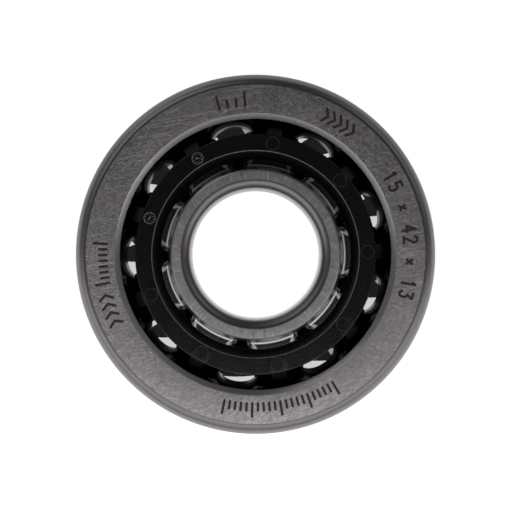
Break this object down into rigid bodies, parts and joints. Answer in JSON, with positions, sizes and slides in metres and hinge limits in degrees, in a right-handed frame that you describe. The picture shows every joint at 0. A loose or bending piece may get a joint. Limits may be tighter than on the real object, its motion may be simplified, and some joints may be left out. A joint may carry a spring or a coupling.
{
  "type": "angular contact ball bearing",
  "caption": "Open single-row angular contact ball bearing with a moulded window cage, inner ring free to turn.",
  "frame": {"origin": "on the bearing's axis, in the plane of the unmarked side it lies on", "axes": "+Z along the axis, towards the marked side, where the outer ring has its wide face; the first ball is 21.2 degrees from +X"},
  "size_m": [0.042, 0.042, 0.013],
  "materials": {
    "ring_steel": "ground and lapped bearing steel",
    "ball_steel": "polished bearing steel",
    "cage_polyamide": "satin moulded glass-filled polyamide"
  },
  "bodies": {
    "outer_ring": {"outer_ring": "ring_steel"},
    "inner_ring": {"inner_ring": "ring_steel"},
    "cage": {"cage": "cage_polyamide"},
    "ball_1": {"ball_1": "ball_steel"},
    "ball_2": {"ball_2": "ball_steel"},
    "ball_3": {"ball_3": "ball_steel"},
    "ball_4": {"ball_4": "ball_steel"},
    "ball_5": {"ball_5": "ball_steel"},
    "ball_6": {"ball_6": "ball_steel"},
    "ball_7": {"ball_7": "ball_steel"},
    "ball_8": {"ball_8": "ball_steel"},
    "ball_9": {"ball_9": "ball_steel"}
  },
  "joints": [
    {"name": "inner_ring_spin", "type": "hinge", "parent": "outer_ring", "child": "inner_ring", "pos_m": [0, 0, 0.0065], "axis": [0, 0, 1], "continuous": true},
    {"name": "cage_spin", "type": "hinge", "parent": "outer_ring", "child": "cage", "pos_m": [0, 0, 0.0065], "axis": [0, 0, 1], "continuous": true},
    {"name": "ball_1_spin", "type": "hinge", "parent": "cage", "child": "ball_1", "pos_m": [0.01329, 0.00515, 0.0065], "axis": [-0.5993, -0.2324, 0.766], "continuous": true},
    {"name": "ball_2_spin", "type": "hinge", "parent": "cage", "child": "ball_2", "pos_m": [0.00686, 0.01249, 0.0065], "axis": [-0.3097, -0.5633, 0.766], "continuous": true},
    {"name": "ball_3_spin", "type": "hinge", "parent": "cage", "child": "ball_3", "pos_m": [-0.00277, 0.01398, 0.0065], "axis": [0.1249, -0.6305, 0.766], "continuous": true},
    {"name": "ball_4_spin", "type": "hinge", "parent": "cage", "child": "ball_4", "pos_m": [-0.01111, 0.00893, 0.0065], "axis": [0.5009, -0.4028, 0.766], "continuous": true},
    {"name": "ball_5_spin", "type": "hinge", "parent": "cage", "child": "ball_5", "pos_m": [-0.01425, -0.0003, 0.0065], "axis": [0.6426, 0.0135, 0.766], "continuous": true},
    {"name": "ball_6_spin", "type": "hinge", "parent": "cage", "child": "ball_6", "pos_m": [-0.01072, -0.00939, 0.0065], "axis": [0.4836, 0.4234, 0.766], "continuous": true},
    {"name": "ball_7_spin", "type": "hinge", "parent": "cage", "child": "ball_7", "pos_m": [-0.00218, -0.01408, 0.0065], "axis": [0.0983, 0.6352, 0.766], "continuous": true},
    {"name": "ball_8_spin", "type": "hinge", "parent": "cage", "child": "ball_8", "pos_m": [0.00738, -0.01219, 0.0065], "axis": [-0.333, 0.5498, 0.766], "continuous": true},
    {"name": "ball_9_spin", "type": "hinge", "parent": "cage", "child": "ball_9", "pos_m": [0.01349, -0.00459, 0.0065], "axis": [-0.6085, 0.2071, 0.766], "continuous": true}
  ],
  "couplings": [
    {"joint": "cage_spin", "follows": "inner_ring_spin", "ratio": 0.3933},
    {"joint": "ball_1_spin", "follows": "inner_ring_spin", "ratio": -1.7134},
    {"joint": "ball_2_spin", "follows": "inner_ring_spin", "ratio": -1.7134},
    {"joint": "ball_3_spin", "follows": "inner_ring_spin", "ratio": -1.7134},
    {"joint": "ball_4_spin", "follows": "inner_ring_spin", "ratio": -1.7134},
    {"joint": "ball_5_spin", "follows": "inner_ring_spin", "ratio": -1.7134},
    {"joint": "ball_6_spin", "follows": "inner_ring_spin", "ratio": -1.7134},
    {"joint": "ball_7_spin", "follows": "inner_ring_spin", "ratio": -1.7134},
    {"joint": "ball_8_spin", "follows": "inner_ring_spin", "ratio": -1.7134},
    {"joint": "ball_9_spin", "follows": "inner_ring_spin", "ratio": -1.7134}
  ]
}
